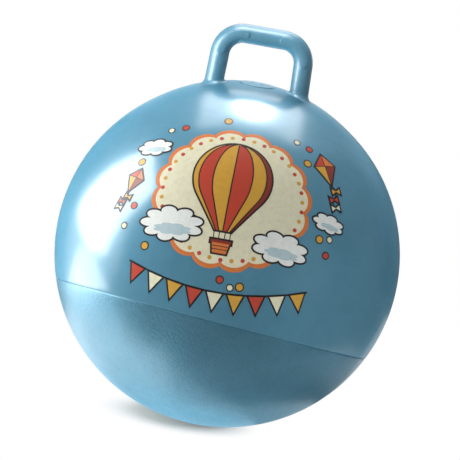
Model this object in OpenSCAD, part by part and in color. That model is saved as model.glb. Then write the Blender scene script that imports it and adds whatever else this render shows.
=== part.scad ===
// Hopper ball: a blown-up vinyl ball with a loop handle moulded on its top.
// It stands on a small flat under the ball, the handle points up along +Z
// and the decorated side of the ball faces -Y.

/* [Ball] */
// Diameter of the blown-up ball
ball_d = 450; // [400:5:550]
// Thickness of the vinyl skin
skin_t = 1.5; // [1:0.1:2.5]
// Diameter of the flat on which the ball stands
foot_d = 60; // [50:1:80]
// Height of the crown under the handle above the round ball
crown_rise = 3; // [2:0.5:6]
// Diameter of the circle where the crown runs out into the ball
crown_d = 245; // [225:5:280]

/* [Parting line] */
// Distance of the mould's parting plane below the middle of the ball
parting_drop = 86.5; // [60:0.5:110]
// Sideways tilt of the parting plane in degrees, lower at +X
parting_lean = 4.9; // [0:0.1:10]
// Tilt of the parting plane from front to back in degrees, lower at +Y
parting_pitch = 14; // [0:0.5:20]

/* [Handle] */
// Diameter of the handle's tube
grip_d = 24.5; // [20:0.5:30]
// Wall of the handle's tube
grip_wall = 3; // [2:0.5:5]
// Spacing of the legs' centrelines at the height of the crown's top
leg_spacing = 110; // [100:1:130]
// Lean of each leg towards the other in degrees
leg_lean = 2; // [0.5:0.5:5]
// Radius of the handle's bends at the centreline
bend_r = 29; // [24:1:34]
// Height of the bar's centreline above the crown's top
bar_rise = 61; // [52:1:80]
// Radius of the fillet on the outer side of each root
root_fillet = 13; // [8:1:18]

/* [Grip pads] */
// Width of the raised pad on each bend
pad_w = 10; // [7:0.5:14]
// Height of the pads above the tube
pad_rise = 0.8; // [0.4:0.1:1.5]
// Angle of the bend that each pad covers, from the bar downwards in degrees
pad_turn = 80; // [50:1:84]

/* [Valve] */
// Diameter of the raised disc round the valve
boss_d = 46; // [36:1:60]
// Height of the raised disc above the crown
boss_rise = 0.8; // [0.4:0.1:1.5]
// Outer diameter of the neck that holds the plug
neck_d = 24; // [21:0.5:30]
// Length of the neck below the top of the disc
neck_l = 14; // [10:0.5:20]
// Diameter of the plug's head
head_d = 17; // [14:0.5:18]
// Thickness of the plug's head
head_t = 2.4; // [1.5:0.1:4]
// Diameter of the plug's stem over its barbs
stem_d = 8; // [6:0.5:10]
// Length of the plug's stem below its head
stem_l = 15; // [12:0.5:20]
// Number of barbs along the stem
barb_count = 3; // [2:1:4]
// Depth of the grooves between the barbs
barb_depth = 0.6; // [0.3:0.1:1]
// Gap round the plug's stem in its bore
stem_gap = 0.05; // [0.02:0.01:0.1]
// Gap round the plug's head in its recess
head_gap = 0.3; // [0.2:0.1:0.6]

/* [Hidden] */
$fn = 120;

// The round ball, with its middle at the height that leaves the flat on the ground
ball_r = ball_d / 2;
foot_r = foot_d / 2;
middle_z = sqrt(pow(ball_r, 2) - pow(foot_r, 2));

// The crown, a slightly tighter sphere that leaves the ball at the crown circle
crown_edge_r = crown_d / 2;
crown_top = ball_r + crown_rise;
crown_h = crown_top - sqrt(pow(ball_r, 2) - pow(crown_edge_r, 2));
crown_r = (pow(crown_edge_r, 2) + pow(crown_h, 2)) / (2 * crown_h);
top_z = middle_z + crown_top;
crown_z = top_z - crown_r;

// The handle's path in the XZ plane: two leaning legs, two bends and the bar
grip_r = grip_d / 2;
grip_bore_r = grip_r - grip_wall;
leg_x = leg_spacing / 2;
bar_z = top_z + bar_rise;
bend_z = bar_z - bend_r;
leg_l = (bend_z - top_z + bend_r * sin(leg_lean)) / cos(leg_lean);
bend_x = leg_x - leg_l * sin(leg_lean) - bend_r * cos(leg_lean);
bend_turn = 90 - leg_lean;
// The straight lengths are a hair slimmer than the bends, and run a little way into them
bend_step = 0.02;
bend_lap = 1;

// The root fillet, placed in each leg's own frame: outwards from the leg, and up from the crown's top.
// It touches the leg and the crown, and sits a little low so that it meets the crown at an edge.
root_sink = 0.3;
leg_out = leg_x * cos(leg_lean) + crown_r * sin(leg_lean);
leg_up = crown_r * cos(leg_lean) - leg_x * sin(leg_lean);
fillet_out = grip_r + root_fillet;
fillet_up = sqrt(pow(crown_r + root_fillet, 2) - pow(leg_out + fillet_out, 2)) - leg_up;
touch_share = crown_r / (crown_r + root_fillet);
touch_out = (leg_out + fillet_out) * touch_share - leg_out;
touch_up = (leg_up + fillet_up) * touch_share - leg_up;
root_depth = 2 * skin_t;

// The valve, on the ball's axis
boss_r = boss_d / 2;
boss_z = top_z + boss_rise;
neck_r = neck_d / 2;
head_r = head_d / 2;
stem_r = stem_d / 2;
bore_r = stem_r + stem_gap;
recess_z = boss_z - head_t;
barb_pitch = stem_l / (barb_count + 1);

vinyl = "#4b86a3";
vinyl_grained = "#5596b4";
vinyl_pale = "#6fa9c4";

// The outside of the whole ball, or a smaller copy of it, inset from its surface
module ball_form(inset) {
    translate([0, 0, middle_z])
        sphere(ball_r - inset);
    translate([0, 0, crown_z])
        sphere(crown_r - inset);
}

// All the space on one side of the parting plane: 0 above it, -1 below it
module parting_side(level) {
    reach = 2 * ball_d;
    translate([0, 0, middle_z])
        rotate([-parting_pitch, parting_lean, 0])
            translate([-reach / 2, -reach / 2, -parting_drop + level * reach])
                cube(reach);
}

// Places a leg's parts: its own frame stands on the leg's axis at the height of the crown's top
module on_each_leg() {
    for (side = [0, 1])
        mirror([side, 0, 0])
            translate([leg_x, 0, top_z])
                rotate([0, -leg_lean, 0])
                    children();
}

// A rod of the given radius along the handle's path, with its legs carried down into the ball
module handle_rod(radius) {
    below = root_depth + crown_r - sqrt(pow(crown_r, 2) - pow(leg_x + fillet_out, 2));
    straight_r = radius - bend_step;
    on_each_leg()
        translate([0, 0, -below])
            cylinder(r = straight_r, h = below + leg_l + bend_lap);
    for (side = [0, 1])
        mirror([side, 0, 0])
            translate([bend_x, 0, bend_z])
                rotate([90, -leg_lean, 0])
                    rotate_extrude(angle = bend_turn)
                        translate([bend_r, 0])
                            circle(radius);
    translate([-bend_x - bend_lap, 0, bar_z])
        rotate([0, 90, 0])
            cylinder(r = straight_r, h = 2 * (bend_x + bend_lap));
}

// The flared root of a leg, in the leg's own frame
module root_flare() {
    translate([0, 0, -root_sink])
        rotate_extrude()
            difference() {
                polygon([
                    [0, touch_up - root_depth],
                    [touch_out, touch_up - root_depth],
                    [touch_out, touch_up],
                    [fillet_out, fillet_up],
                    [grip_r, fillet_up],
                    [0, fillet_up]
                ]);
                translate([fillet_out, fillet_up])
                    circle(root_fillet);
            }
}

// Outline of the pad at +X, drawn in the plane of the handle: a stretch of the bend with round ends
module pad_outline() {
    half = pad_w / 2;
    reach = 2 * bend_r;
    low = 90 - pad_turn;
    translate([bend_x, bend_z]) {
        intersection() {
            difference() {
                circle(bend_r + half);
                circle(bend_r - half);
            }
            polygon([[0, 0], [reach * cos(low), reach * sin(low)], [reach, reach], [0, reach]]);
        }
        for (end = [low, 90])
            rotate(end)
                translate([bend_r, 0])
                    circle(half - bend_step);
    }
}

// The two raised pads on the front of the handle's bends
module grip_pads() {
    intersection() {
        handle_rod(grip_r + pad_rise);
        for (side = [0, 1])
            mirror([side, 0, 0])
                rotate([90, 0, 0])
                    linear_extrude(grip_d)
                        pad_outline();
    }
}

// Outside of the valve: the raised disc and the neck below it
module valve_form() {
    intersection() {
        translate([0, 0, crown_z])
            sphere(crown_r + boss_rise);
        translate([0, 0, boss_z - neck_l])
            union() {
                cylinder(r = neck_r, h = neck_l);
                translate([0, 0, neck_l / 2])
                    cylinder(r = boss_r, h = neck_l);
            }
    }
}

// Outline of the plug's stem: barbs that widen upwards, above a tapered tip
function stem_outline() = concat(
    [[0, 0], [0, -stem_l], [stem_r - 2 * barb_depth, -stem_l]],
    [for (barb = [barb_count : -1 : 1]) each [
        [stem_r - barb_depth, -(barb + 0.5) * barb_pitch],
        [stem_r, -barb * barb_pitch],
        [stem_r - barb_depth, -barb * barb_pitch]
    ]],
    [[stem_r - barb_depth, 0]]
);

// The smooth upper part of the ball, open under the handle's legs and round the valve
module upper_skin() {
    color(vinyl)
        difference() {
            intersection() {
                ball_form(0);
                parting_side(0);
            }
            ball_form(skin_t);
            handle_rod(grip_bore_r);
            translate([0, 0, crown_z])
                cylinder(r = neck_r, h = 2 * crown_r);
        }
}

// The grained lower part of the ball, with the flat on which it stands
module lower_skin() {
    color(vinyl_grained)
        difference() {
            intersection() {
                ball_form(0);
                parting_side(-1);
                translate([-ball_r, -ball_r, 0])
                    cube(ball_d);
            }
            intersection() {
                ball_form(skin_t);
                translate([-ball_r, -ball_r, skin_t])
                    cube(ball_d);
            }
        }
}

// The hollow loop handle, cut to the ball at its roots
module handle() {
    color(vinyl_pale)
        difference() {
            union() {
                handle_rod(grip_r);
                grip_pads();
                on_each_leg()
                    root_flare();
            }
            handle_rod(grip_bore_r);
            translate([0, 0, crown_z])
                sphere(crown_r);
        }
}

// The thick disc and neck moulded into the skin round the valve's bore
module valve_seat() {
    color(vinyl)
        difference() {
            valve_form();
            difference() {
                translate([0, 0, crown_z])
                    sphere(crown_r);
                translate([0, 0, crown_z])
                    cylinder(r = neck_r, h = 2 * crown_r);
            }
            translate([0, 0, crown_z])
                cylinder(r = bore_r, h = 2 * crown_r);
            translate([0, 0, recess_z])
                cylinder(r = head_r + head_gap, h = 2 * head_t);
        }
}

// The plug that closes the valve: a flush head on a barbed stem
module valve_plug() {
    color(vinyl_grained) {
        intersection() {
            translate([0, 0, recess_z])
                cylinder(r = head_r, h = 2 * head_t);
            translate([0, 0, crown_z])
                sphere(crown_r + boss_rise);
        }
        translate([0, 0, recess_z])
            rotate_extrude()
                polygon(stem_outline());
    }
}

upper_skin();
lower_skin();
handle();
valve_seat();
valve_plug();
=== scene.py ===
"""Looks of the hopper ball: skins, handle, valve and print in a plain studio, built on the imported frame."""

import logging
import math
from abc import ABC, abstractmethod
from dataclasses import dataclass
from enum import Enum, IntEnum
from typing import Any, TypeVar

import bmesh
import bpy
import numpy as np
from mathutils import Matrix, Quaternion, Vector


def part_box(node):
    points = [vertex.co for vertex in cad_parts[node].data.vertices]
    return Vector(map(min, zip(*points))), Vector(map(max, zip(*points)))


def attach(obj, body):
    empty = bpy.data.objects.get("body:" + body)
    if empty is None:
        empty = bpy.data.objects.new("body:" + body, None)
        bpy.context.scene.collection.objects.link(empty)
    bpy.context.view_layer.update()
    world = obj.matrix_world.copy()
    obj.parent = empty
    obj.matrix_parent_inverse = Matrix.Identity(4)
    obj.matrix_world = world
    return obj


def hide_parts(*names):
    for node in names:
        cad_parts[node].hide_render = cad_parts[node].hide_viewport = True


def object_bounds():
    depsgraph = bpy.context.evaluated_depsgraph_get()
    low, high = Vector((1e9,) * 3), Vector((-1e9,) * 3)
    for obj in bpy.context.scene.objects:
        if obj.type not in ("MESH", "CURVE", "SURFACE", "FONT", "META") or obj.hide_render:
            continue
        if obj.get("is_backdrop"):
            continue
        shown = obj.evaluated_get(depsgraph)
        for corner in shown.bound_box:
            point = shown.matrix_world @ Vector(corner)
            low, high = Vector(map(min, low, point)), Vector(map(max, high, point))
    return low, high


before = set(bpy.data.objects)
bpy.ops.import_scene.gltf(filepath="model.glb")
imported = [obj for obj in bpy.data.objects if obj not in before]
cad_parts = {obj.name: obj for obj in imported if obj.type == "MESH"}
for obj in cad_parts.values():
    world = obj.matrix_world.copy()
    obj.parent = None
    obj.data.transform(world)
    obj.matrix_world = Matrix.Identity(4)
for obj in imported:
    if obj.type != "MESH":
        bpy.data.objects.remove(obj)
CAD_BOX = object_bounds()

MM = 0.001
FULL_TURN = 2 * math.pi
QUARTER_TURN = math.pi / 2
SHARP_ANGLE = math.radians(40)
NOISE_MEAN = 0.5
LOG = logging.getLogger("hopper_ball")

Colour = tuple[float, float, float, float]
Pair = tuple[float, float]
Triple = tuple[float, float, float]
Faces = list[tuple[int, ...]]
Amount = TypeVar("Amount")

WHITE: Colour = (1.0, 1.0, 1.0, 1.0)
RIGHT: Triple = (1.0, 0.0, 0.0)
AHEAD: Triple = (0.0, 1.0, 0.0)
UP: Triple = (0.0, 0.0, 1.0)
DOWN: Triple = (0.0, 0.0, -1.0)


class Body(Enum):
    """The bodies of the frame that pieces ride on."""

    BALL = "ball"
    PLUG = "plug"


class Ends(Enum):
    """How the first and last row of a lattice are closed."""

    RING = "joined to each other"
    POLES = "each drawn in to a point"


class Grain(Enum):
    """The relief that a vinyl takes from its mould."""

    POLISHED = "faint ripple of a polished mould"
    LEATHER = "pebbles of an etched mould"


class LampShape(Enum):
    """The outlines that a studio light's front can have."""

    SQUARE = "RECTANGLE"
    OVAL = "ELLIPSE"


class Lit(Enum):
    """The pieces that a studio light falls on."""

    EVERYTHING = ""
    HANDLE = "INCLUDE"
    ALL_BUT_HANDLE = "EXCLUDE"


def linear(code: str) -> Colour:
    """Turns a colour as it is seen into the numbers that shaders work with.

    Args:
        code: The colour, written as #rrggbb.

    Returns:
        Linear red, green and blue, and an alpha of 1.
    """
    parts = [int(code[at:at + 2], 16) / 255 for at in (1, 3, 5)]
    # The curve of the sRGB standard
    red, green, blue = (c / 12.92 if c <= 0.04045 else ((c + 0.055) / 1.055) ** 2.4 for c in parts)
    return red, green, blue, 1.0


def faded(colour: Colour, keep: float, haze: float = 0.0) -> Colour:
    """A linear colour of which a share stays, with some grey added."""
    red, green, blue, alpha = colour
    return keep * red + haze, keep * green + haze, keep * blue + haze, alpha


def soft_max(first: Amount, second: Any, blend: float) -> Amount:
    """The greater of two amounts, rounded off over the blend where they are nearly equal."""
    gap = first - second
    return 0.5 * (first + second + (gap * gap + blend**2) ** 0.5)


class Flow:
    """The value of a socket; arithmetic on it adds Math nodes to its tree."""

    def __init__(self, sheet: "NodeSheet", socket: bpy.types.NodeSocket) -> None:
        """Keeps the tree and the socket that the value comes from."""
        self.sheet = sheet
        self.socket = socket

    def __add__(self, other: "Flow | float") -> "Flow":
        """Adds."""
        return self.sheet.maths("ADD", self, other)

    def __radd__(self, other: float) -> "Flow":
        """Adds to a number."""
        return self.sheet.maths("ADD", other, self)

    def __sub__(self, other: "Flow | float") -> "Flow":
        """Subtracts."""
        return self.sheet.maths("SUBTRACT", self, other)

    def __rsub__(self, other: float) -> "Flow":
        """Subtracts from a number."""
        return self.sheet.maths("SUBTRACT", other, self)

    def __mul__(self, other: "Flow | float") -> "Flow":
        """Multiplies."""
        return self.sheet.maths("MULTIPLY", self, other)

    def __rmul__(self, other: float) -> "Flow":
        """Multiplies a number."""
        return self.sheet.maths("MULTIPLY", other, self)

    def __truediv__(self, other: "Flow | float") -> "Flow":
        """Divides."""
        return self.sheet.maths("DIVIDE", self, other)

    def __pow__(self, other: float) -> "Flow":
        """Raises to a power."""
        return self.sheet.maths("POWER", self, other)

    def ramp(self, low: float, high: float) -> "Flow":
        """Eases the value into a share.

        Args:
            low: The value that gives 0.
            high: The value that gives 1.

        Returns:
            The share, which goes smoothly from 0 to 1.
        """
        settings = {"interpolation_type": "SMOOTHSTEP"}
        sockets = {"Value": self, "From Min": low, "From Max": high}
        return self.sheet.flow("ShaderNodeMapRange", settings, sockets)


class NodeSheet:
    """A node tree that is filled in by short calls."""

    def __init__(self, tree: bpy.types.NodeTree) -> None:
        """Keeps the tree."""
        self.tree = tree

    @staticmethod
    def find(sockets: Any, key: str | int) -> bpy.types.NodeSocket:
        """Finds one of a node's sockets.

        Args:
            sockets: The node's inputs or its outputs.
            key: The socket's position, identifier or name.

        Returns:
            The socket.
        """
        if isinstance(key, int):
            return sockets[key]
        return next((socket for socket in sockets if socket.identifier == key), None) or sockets[key]

    def add(self, kind: str, settings: dict | None = None, sockets: dict | None = None) -> bpy.types.Node:
        """Adds one node.

        Args:
            kind: Blender's name for the type of node.
            settings: The node's own properties, which are set first.
            sockets: Numbers, colours or flows for its inputs.

        Returns:
            The new node.
        """
        node = self.tree.nodes.new(kind)
        for name, value in (settings or {}).items():
            setattr(node, name, value)
        for key, value in (sockets or {}).items():
            socket = self.find(node.inputs, key)
            if isinstance(value, Flow):
                self.tree.links.new(value.socket, socket)
            else:
                socket.default_value = value
        return node

    def flow(
        self, kind: str, settings: dict | None = None, sockets: dict | None = None, output: str | int = 0
    ) -> Flow:
        """Adds one node, as add does, and hands on the value of one of its outputs."""
        node = self.add(kind, settings, sockets)
        return Flow(self, self.find(node.outputs, output))

    def maths(self, operation: str, *values: Flow | float) -> Flow:
        """Adds one Math node on the values."""
        return self.flow("ShaderNodeMath", {"operation": operation}, dict(enumerate(values)))

    def split(self, vector: Flow) -> list[Flow]:
        """Splits a vector into its three parts."""
        node = self.add("ShaderNodeSeparateXYZ", sockets={0: vector})
        return [Flow(self, output) for output in node.outputs]

    def vector(self, **parts: Flow) -> Flow:
        """Joins the parts X, Y and Z, of which those left out are 0, into a vector."""
        return self.flow("ShaderNodeCombineXYZ", None, parts)

    def mix(self, share: Flow, first: Flow | Colour, second: Flow | Colour) -> Flow:
        """Mixes two colours: the share, from 0 to 1, says how much of the second shows."""
        sockets = {"Factor_Float": share, "A_Color": first, "B_Color": second}
        return self.flow("ShaderNodeMix", {"data_type": "RGBA"}, sockets, "Result_Color")

    def place(self) -> Flow:
        """The point that is shaded, in its object's own frame."""
        return self.flow("ShaderNodeTexCoord", output="Object")

    def noise(self, place: Flow, size: float, detail: float = 2.0) -> Flow:
        """Cloudy noise from 0 to 1, with blots of about the given size in metres."""
        sockets = {"Vector": place, "Scale": 1 / size, "Detail": detail}
        return self.flow("ShaderNodeTexNoise", None, sockets)

    def cells(self, place: Flow, size: float) -> Flow:
        """Distance from the nearest of scattered points that lie about one size apart."""
        sockets = {"Vector": place, "Scale": 1 / size}
        return self.flow("ShaderNodeTexVoronoi", {"feature": "F1"}, sockets, "Distance")

    def bump(self, height: Flow, depth: float) -> Flow:
        """Normal of a relief whose height runs from 0 to 1 over the given depth in metres."""
        return self.flow("ShaderNodeBump", None, {"Height": height, "Strength": 1.0, "Distance": depth})

    def end(self, shader: Flow) -> None:
        """Ends a material in a shader."""
        self.add("ShaderNodeOutputMaterial", None, {"Surface": shader})

    def surface(self, sockets: dict[str, Any]) -> None:
        """Ends a material in one Principled shader."""
        self.end(self.flow("ShaderNodeBsdfPrincipled", None, sockets))

    def matt(self, colour: Flow) -> Flow:
        """A shader without any gloss."""
        return self.flow("ShaderNodeBsdfDiffuse", None, {"Color": colour})


class GeometryTree(NodeSheet):
    """A Geometry Nodes tree with named inputs."""

    def __init__(self, name: str, inputs: dict[str, str]) -> None:
        """Makes the empty tree.

        Args:
            name: The tree's name.
            inputs: The type of socket for each named input, besides the geometry and its material.
        """
        super().__init__(bpy.data.node_groups.new(name, "GeometryNodeTree"))
        self.tree.interface.new_socket("Geometry", in_out="OUTPUT", socket_type="NodeSocketGeometry")
        wanted = {"Geometry": "NodeSocketGeometry", **inputs, "Material": "NodeSocketMaterial"}
        for label, kind in wanted.items():
            self.tree.interface.new_socket(label, in_out="INPUT", socket_type=kind)
        self.source = self.tree.nodes.new("NodeGroupInput")

    def given(self, label: str) -> Flow:
        """The value of a named input."""
        return Flow(self, self.source.outputs[label])

    def close(self, geometry: Flow) -> None:
        """Ends the tree: instances become mesh and take the material.

        Args:
            geometry: What the tree has made.
        """
        plain = self.flow("GeometryNodeRealizeInstances", None, {"Geometry": geometry})
        sockets = {"Geometry": plain, "Material": self.given("Material")}
        dressed = self.flow("GeometryNodeSetMaterial", None, sockets)
        self.add("NodeGroupOutput", None, {0: dressed})

    def apply(self, piece: bpy.types.Object, values: dict[str, Any]) -> None:
        """Runs the tree on a piece and leaves a plain mesh.

        Args:
            piece: The object whose mesh is the tree's geometry.
            values: A value for each named input.
        """
        modifier = piece.modifiers.new(self.tree.name, "NODES")
        modifier.node_group = self.tree
        for item in self.tree.interface.items_tree:
            if item.in_out == "INPUT" and item.name in values:
                modifier[item.identifier] = values[item.name]
        graph = bpy.context.evaluated_depsgraph_get()
        mesh = bpy.data.meshes.new_from_object(piece.evaluated_get(graph), depsgraph=graph)
        piece.modifiers.remove(modifier)
        rough = piece.data
        piece.data = mesh
        bpy.data.meshes.remove(rough)
        mesh.name = piece.name


@dataclass(frozen=True)
class Finish(ABC):
    """What a surface is made of."""

    name: str

    def material(self) -> bpy.types.Material:
        """Draws the finish the first time that it is asked for.

        Returns:
            The finish's material.
        """
        material = bpy.data.materials.get(self.name)
        if material is None:
            material = bpy.data.materials.new(self.name)
            material.use_nodes = True
            material.node_tree.nodes.clear()
            self.draw(NodeSheet(material.node_tree))
        return material

    @abstractmethod
    def draw(self, sheet: NodeSheet) -> None:
        """Draws the finish's nodes on the sheet of its material."""


@dataclass(frozen=True)
class Vinyl(Finish):
    """Soft blue vinyl as it comes out of its mould, cloudy and faintly scuffed, with painted shade in the
    hollows of its grain.

    Attributes:
        cloud_and_shade_colour: Colour of the darker clouds, and of painted shade in the hollows of the grain.
        pearl: How metallic the vinyl looks.
        gleam: Tint of what the vinyl itself mirrors, under its clear coat.
        gloss: Strength of what it mirrors there.
        shine_heights: Heights between which the coat comes in, where it doesn't cover the whole piece.
        glancing_loss: Share of the coat that is lost where the surface is seen edge on.
        glancing_span: Values of Layer Weight between which that loss comes in.
    """

    colour: str
    cloud_and_shade_colour: str
    pearl: float
    roughness: float
    coat: float
    coat_roughness: float
    coat_ior: float
    grain: Grain
    grain_size: float
    grain_depth: float
    gleam: str = "#a9d3e6"
    gloss: float = 0.5
    shine_heights: Pair | None = None
    glancing_loss: float = 0.0
    glancing_span: Pair = (0.48, 0.78)
    pebble_fall: float = 1.3
    crease_size: float = 0.45
    crease_share: float = 0.3
    cloud_size: float = 70 * MM
    cloud_tone: float = 0.9
    cloud_pearl: float = 0.12
    cloud_rough: float = 0.08
    scuff_size: float = 9 * MM
    scuff_tone: float = 0.25
    scuff_rough: float = 0.10
    # Strength of the painted shade in the hollows of the grain
    hollow_shade: float = 0.35
    tone_span: Pair = (0.25, 1.25)

    def relief(self, sheet: NodeSheet, place: Flow) -> Flow:
        """Draws the mould's grain.

        Args:
            sheet: The sheet of the material.
            place: The point that is shaded.

        Returns:
            The height of the grain, from about 0 to 1.
        """
        if self.grain is Grain.POLISHED:
            return sheet.noise(place, self.grain_size)
        pebbles = 1 - self.pebble_fall * sheet.cells(place, self.grain_size)
        creases = sheet.noise(place, self.crease_size * self.grain_size, detail=1.0)
        return (1 - self.crease_share) * pebbles + self.crease_share * creases

    def coat_weight(self, sheet: NodeSheet, place: Flow) -> Flow | float:
        """Draws the clear coat, which can wear off towards the foot and weaken at glancing angles.

        Args:
            sheet: The sheet of the material.
            place: The point that is shaded.

        Returns:
            The weight of the coat.
        """
        coat: Flow | float = self.coat
        if self.shine_heights:
            coat = self.coat * sheet.split(place)[2].ramp(*self.shine_heights)
        if self.glancing_loss:
            glancing = sheet.flow("ShaderNodeLayerWeight", None, {"Blend": 0.5}, "Facing")
            coat = (1 - self.glancing_loss * glancing.ramp(*self.glancing_span)) * coat
        return coat

    def draw(self, sheet: NodeSheet) -> None:
        """Draws the vinyl's colour with painted shade in its grain's hollows, its gloss and its grain.

        Args:
            sheet: The sheet of the material.
        """
        place = sheet.place()
        relief = self.relief(sheet, place)
        clouds = sheet.noise(place, self.cloud_size, detail=3.0)
        scuffs = sheet.noise(place, self.scuff_size)
        # The hollows of the grain are painted darker as shade, along with the darker clouds and the scuffs.
        tone = self.cloud_tone * clouds + self.scuff_tone * scuffs + self.hollow_shade * (1 - relief)
        cloud_and_shade_share = tone.ramp(*self.tone_span)
        cloudy, scuffed = clouds - NOISE_MEAN, scuffs - NOISE_MEAN
        sheet.surface({
            "Base Color": sheet.mix(cloud_and_shade_share, linear(self.colour), linear(self.cloud_and_shade_colour)),
            "Metallic": self.pearl + self.cloud_pearl * cloudy,
            "Roughness": self.roughness + self.scuff_rough * scuffed + self.cloud_rough * cloudy,
            "Specular IOR Level": self.gloss,
            "Specular Tint": linear(self.gleam),
            "Coat Weight": self.coat_weight(sheet, place),
            "Coat Roughness": self.coat_roughness,
            "Coat IOR": self.coat_ior,
            "Normal": sheet.bump(relief, self.grain_depth),
        })


@dataclass(frozen=True)
class PrintInk(Finish):
    """Screen ink on the vinyl, with a slight mottle and the dots of its screen."""

    colour: str
    worn_keep: float = 0.80
    worn_haze: float = 0.015
    wear_span: Pair = (0.35, 0.95)
    mottle_size: float = 6 * MM
    mottle_wear: float = 0.7
    mottle_rough: float = 0.14
    screen_size: float = 0.9 * MM
    screen_wear: float = 0.35
    screen_depth: float = 0.02 * MM
    roughness: float = 0.36
    coat: float = 0.25
    coat_roughness: float = 0.12

    def draw(self, sheet: NodeSheet) -> None:
        """Draws the ink's colour, gloss and dots.

        Args:
            sheet: The sheet of the material.
        """
        place = sheet.place()
        mottle = sheet.noise(place, self.mottle_size, detail=4.0)
        screen = sheet.cells(place, self.screen_size)
        wear = (self.mottle_wear * mottle + self.screen_wear * screen).ramp(*self.wear_span)
        full = linear(self.colour)
        sheet.surface({
            "Base Color": sheet.mix(wear, full, faded(full, self.worn_keep, self.worn_haze)),
            "Roughness": self.roughness + self.mottle_rough * (mottle - NOISE_MEAN),
            "Coat Weight": self.coat,
            "Coat Roughness": self.coat_roughness,
            "Normal": sheet.bump(screen, self.screen_depth),
        })


@dataclass(frozen=True)
class PaperFloor(Finish):
    """White paper that keeps the ball's shadow, adds a painted shadow near the ball, and fades to a white
    background away from it.

    Attributes:
        painted_shadow_colour: Painted shadow colour of the paper close to the ball, darker and warmer than
            its own.
        shadow_squeeze: How much less a distance along X counts than one along Y.
        shadow_reach: Distance from the shadow's middle up to which the paper is at its darkest.
        fade_reach: Distance from which it is as white as the background.
        least_glow: Share of plain white within the shadow.
    """

    colour: str
    painted_shadow_colour: str
    shadow_middle: Pair
    shadow_squeeze: float
    shadow_reach: float
    fade_reach: float
    least_glow: float
    fibre_size: float = 3 * MM
    fibre_share: float = 0.06

    def draw(self, sheet: NodeSheet) -> None:
        """Draws matt paper with a painted shadow near the ball, and plain white for what is seen far from it.

        Args:
            sheet: The sheet of the material.
        """
        place = sheet.place()
        across, along = (part - middle for part, middle in zip(sheet.split(place), self.shadow_middle))
        across = self.shadow_squeeze * across
        far = ((across * across + along * along) ** 0.5).ramp(self.shadow_reach, self.fade_reach)
        path = sheet.add("ShaderNodeLightPath")
        seen = Flow(sheet, path.outputs["Is Camera Ray"])
        for ray in ("Is Glossy Ray", "Is Transmission Ray"):
            seen = sheet.maths("MAXIMUM", seen, Flow(sheet, path.outputs[ray]))
        fibre = self.fibre_share * sheet.noise(place, self.fibre_size, detail=3.0)
        # Near the ball the paper's colour is painted darker and warmer as a shadow, fading to its own colour
        # further out.
        beyond_painted_shadow = (1 - self.fibre_share) * far + fibre
        paper = sheet.matt(sheet.mix(beyond_painted_shadow, linear(self.painted_shadow_colour), linear(self.colour)))
        glow = sheet.flow("ShaderNodeEmission", None, {"Color": WHITE, "Strength": 1.0})
        share = self.least_glow + (1 - self.least_glow) * far
        sheet.end(sheet.flow("ShaderNodeMixShader", None, {0: share * seen, 1: paper, 2: glow}))


@dataclass(frozen=True)
class Cloth(Finish):
    """Matt cloth with a slight nap, for the studio's screens."""

    colour: str
    nap_size: float = 4 * MM
    nap_keep: float = 0.8

    def draw(self, sheet: NodeSheet) -> None:
        """Draws the cloth.

        Args:
            sheet: The sheet of the material.
        """
        full = linear(self.colour)
        nap = sheet.noise(sheet.place(), self.nap_size)
        sheet.end(sheet.matt(sheet.mix(nap, full, faded(full, self.nap_keep))))


# Each vinyl's second colour is for its darker clouds and for painted shade in the hollows of its grain.
SMOOTH_VINYL = Vinyl(
    "smooth vinyl",
    colour="#5a98b3",
    cloud_and_shade_colour="#4d8ba6",
    pearl=0.14,
    roughness=0.38,
    coat=1.0,
    coat_roughness=0.20,
    coat_ior=2.0,
    grain=Grain.POLISHED,
    grain_size=14 * MM,
    grain_depth=0.05 * MM,
    glancing_loss=0.85,
)
GRAINED_VINYL = Vinyl(
    "grained vinyl",
    colour="#62a3bf",
    cloud_and_shade_colour="#508da6",
    pearl=0.45,
    roughness=0.40,
    coat=1.0,
    coat_roughness=0.34,
    coat_ior=1.7,
    grain=Grain.LEATHER,
    grain_size=3 * MM,
    grain_depth=0.55 * MM,
    gloss=0.15,
    shine_heights=(26 * MM, 130 * MM),
)
HANDLE_VINYL = Vinyl(
    "handle vinyl",
    colour="#5a98b3",
    cloud_and_shade_colour="#487f97",
    pearl=0.10,
    roughness=0.42,
    coat=1.0,
    coat_roughness=0.36,
    coat_ior=2.0,
    grain=Grain.LEATHER,
    grain_size=2 * MM,
    grain_depth=0.18 * MM,
)
SEAT_VINYL = Vinyl(
    "seat vinyl",
    colour="#5e9db8",
    cloud_and_shade_colour="#518ea9",
    pearl=0.3,
    roughness=0.38,
    coat=0.8,
    coat_roughness=0.22,
    coat_ior=1.7,
    grain=Grain.POLISHED,
    grain_size=6 * MM,
    grain_depth=0.03 * MM,
)
PLUG_VINYL = Vinyl(
    "plug vinyl",
    colour="#5390ad",
    cloud_and_shade_colour="#457e98",
    pearl=0.3,
    roughness=0.40,
    coat=0.4,
    coat_roughness=0.25,
    coat_ior=1.6,
    grain=Grain.LEATHER,
    grain_size=0.9 * MM,
    grain_depth=0.03 * MM,
)
PAPER_FLOOR = PaperFloor(
    "paper floor",
    colour="#f4f2ee",
    # The colour painted on the paper close to the ball as its shadow.
    painted_shadow_colour="#dccbb8",
    shadow_middle=(-28 * MM, -21 * MM),
    shadow_squeeze=0.65,
    shadow_reach=30 * MM,
    fade_reach=73 * MM,
    least_glow=0.24,
)
DARK_CLOTH = Cloth("dark cloth", "#606264")
GREY_CLOTH = Cloth("grey cloth", "#a8aaac")


class Ink(Enum):
    """The inks of the front print."""

    CREAM = "#e9e5c6"
    ORANGE = "#dd7c3c"
    RED = "#c5452f"
    MAROON = "#8f3529"
    OCHRE = "#d9a53c"
    WHITE = "#eef2ee"
    PALE = "#b9d0d6"
    BLACK = "#242021"

    def material(self) -> bpy.types.Material:
        """The material of this ink."""
        return PrintInk(f"{self.name.lower()} ink", self.value).material()


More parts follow.
